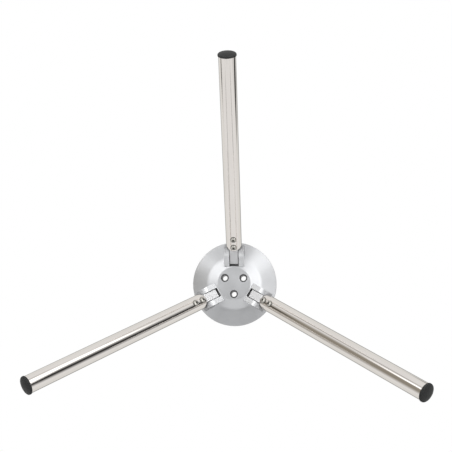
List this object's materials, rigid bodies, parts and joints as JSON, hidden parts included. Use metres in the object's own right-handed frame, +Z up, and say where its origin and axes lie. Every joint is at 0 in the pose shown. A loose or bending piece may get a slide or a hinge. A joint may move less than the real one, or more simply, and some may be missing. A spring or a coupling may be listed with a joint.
{
  "type": "folding tripod base",
  "caption": "Low folding tripod base: a round aluminium hub on hinged tube legs with capped feet, drilled for bolting on a column or plate.",
  "frame": {"origin": "centre of the hub's flat top face, on the hub's axis; the feet rest on a floor 188.7 mm below it", "axes": "+Z up along the hub's axis, out of the top face; leg a reaches towards +Y, leg b towards -X and -Y, leg c towards +X and -Y"},
  "size_m": [0.4148, 0.3621, 0.1887],
  "materials": {
    "hub_aluminium": "turned and finely bead-blasted, satin",
    "knuckle_aluminium": "machined and bead-blasted, satin",
    "tube_steel": "polished stainless tube with a fine lengthwise grain",
    "screw_steel": "plain stainless screw",
    "pin_steel": "ground steel",
    "washer_plastic": "natural nylon",
    "cap_rubber": "moulded, fine matte grain"
  },
  "bodies": {
    "hub_body": {"hub": "hub_aluminium", "pivot_pin_a": "pin_steel", "pivot_pin_b": "pin_steel", "pivot_pin_c": "pin_steel", "washer_left_a": "washer_plastic", "washer_left_b": "washer_plastic", "washer_left_c": "washer_plastic", "washer_right_a": "washer_plastic", "washer_right_b": "washer_plastic", "washer_right_c": "washer_plastic"},
    "leg_a": {"knuckle_a": "knuckle_aluminium", "leg_tube_a": "tube_steel", "inner_screw_a": "screw_steel", "outer_screw_a": "screw_steel", "foot_cap_a": "cap_rubber"},
    "leg_b": {"knuckle_b": "knuckle_aluminium", "leg_tube_b": "tube_steel", "inner_screw_b": "screw_steel", "outer_screw_b": "screw_steel", "foot_cap_b": "cap_rubber"},
    "leg_c": {"knuckle_c": "knuckle_aluminium", "leg_tube_c": "tube_steel", "inner_screw_c": "screw_steel", "outer_screw_c": "screw_steel", "foot_cap_c": "cap_rubber"}
  },
  "joints": [
    {"name": "leg_a_fold", "type": "hinge", "parent": "hub_body", "child": "leg_a", "pos_m": [0, 0.0365, -0.018], "axis": [-1, 0, 0], "range_deg": [0, 50]},
    {"name": "leg_b_fold", "type": "hinge", "parent": "hub_body", "child": "leg_b", "pos_m": [-0.03161, -0.01825, -0.018], "axis": [0.5, -0.866, 0], "range_deg": [0, 50]},
    {"name": "leg_c_fold", "type": "hinge", "parent": "hub_body", "child": "leg_c", "pos_m": [0.03161, -0.01825, -0.018], "axis": [0.5, 0.866, 0], "range_deg": [0, 50]}
  ]
}
